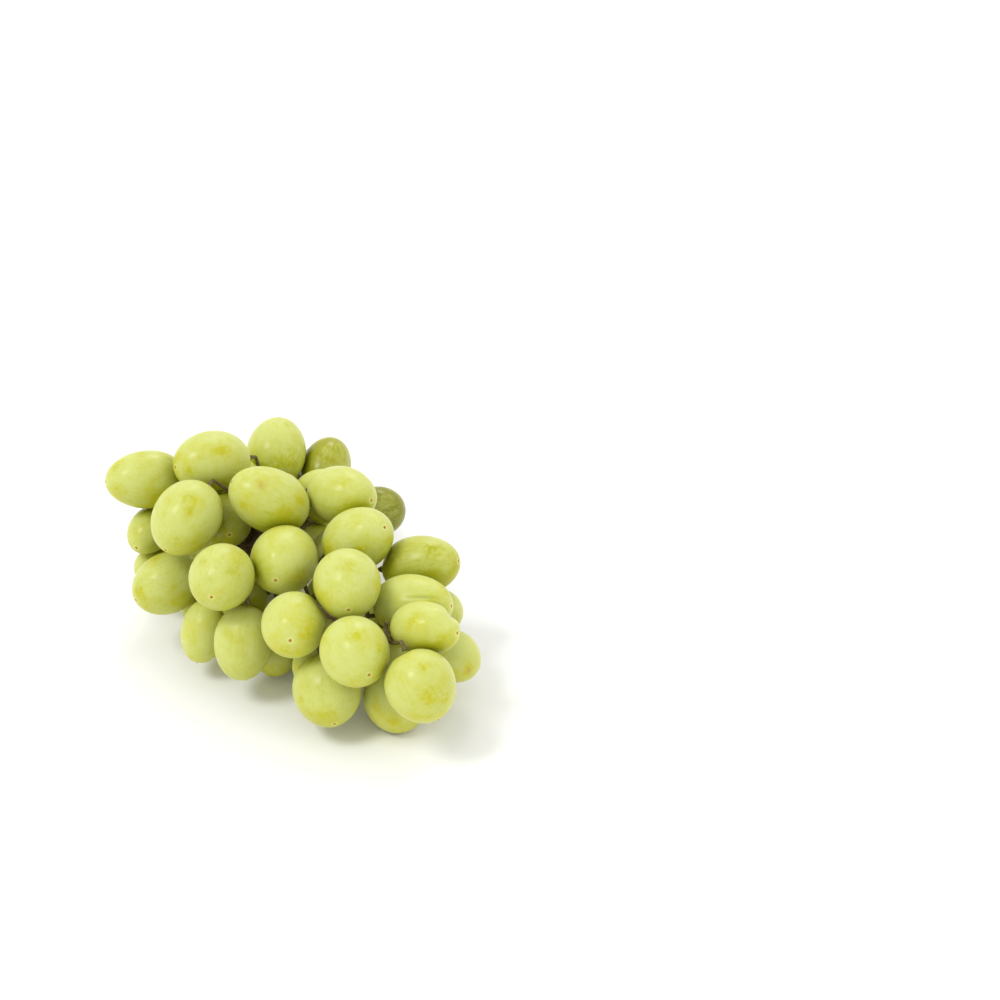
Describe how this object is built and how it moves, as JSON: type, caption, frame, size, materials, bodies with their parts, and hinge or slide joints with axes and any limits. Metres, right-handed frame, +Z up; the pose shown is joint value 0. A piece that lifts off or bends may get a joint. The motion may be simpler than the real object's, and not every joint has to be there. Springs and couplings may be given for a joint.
{
  "type": "bunch of grapes",
  "caption": "Picked bunch of pale green table grapes lying on its side, with its woody stem and cut stalk.",
  "frame": {"origin": "middle of the bunch's outline, on the surface that it lies on", "axes": "+X across the bunch, +Y away from its full face and towards the cut stalk, +Z up"},
  "size_m": [0.1384, 0.1677, 0.0763],
  "materials": {
    "berry_skin": "pale yellow-green grape skin with a faint whitish bloom",
    "stem_bark": "brown woody rachis with greener pedicels"
  },
  "bodies": {
    "root": {"berry_01": "berry_skin", "berry_02": "berry_skin", "berry_03": "berry_skin", "berry_04": "berry_skin", "berry_05": "berry_skin", "berry_06": "berry_skin", "berry_07": "berry_skin", "berry_08": "berry_skin", "berry_09": "berry_skin", "berry_10": "berry_skin", "berry_11": "berry_skin", "berry_12": "berry_skin", "berry_13": "berry_skin", "berry_14": "berry_skin", "berry_15": "berry_skin", "berry_16": "berry_skin", "berry_17": "berry_skin", "berry_18": "berry_skin", "berry_19": "berry_skin", "berry_20": "berry_skin", "berry_21": "berry_skin", "berry_22": "berry_skin", "berry_23": "berry_skin", "berry_24": "berry_skin", "berry_25": "berry_skin", "berry_26": "berry_skin", "berry_27": "berry_skin", "berry_28": "berry_skin", "berry_29": "berry_skin", "berry_30": "berry_skin", "berry_31": "berry_skin", "berry_32": "berry_skin", "berry_33": "berry_skin", "berry_34": "berry_skin", "berry_35": "berry_skin", "berry_36": "berry_skin", "berry_37": "berry_skin", "berry_38": "berry_skin", "berry_39": "berry_skin", "berry_40": "berry_skin", "berry_41": "berry_skin", "berry_42": "berry_skin", "berry_43": "berry_skin", "berry_44": "berry_skin", "berry_45": "berry_skin", "berry_46": "berry_skin", "berry_47": "berry_skin", "berry_48": "berry_skin", "berry_49": "berry_skin", "berry_50": "berry_skin", "berry_51": "berry_skin", "berry_52": "berry_skin", "stem": "stem_bark"}
  },
  "joints": []
}
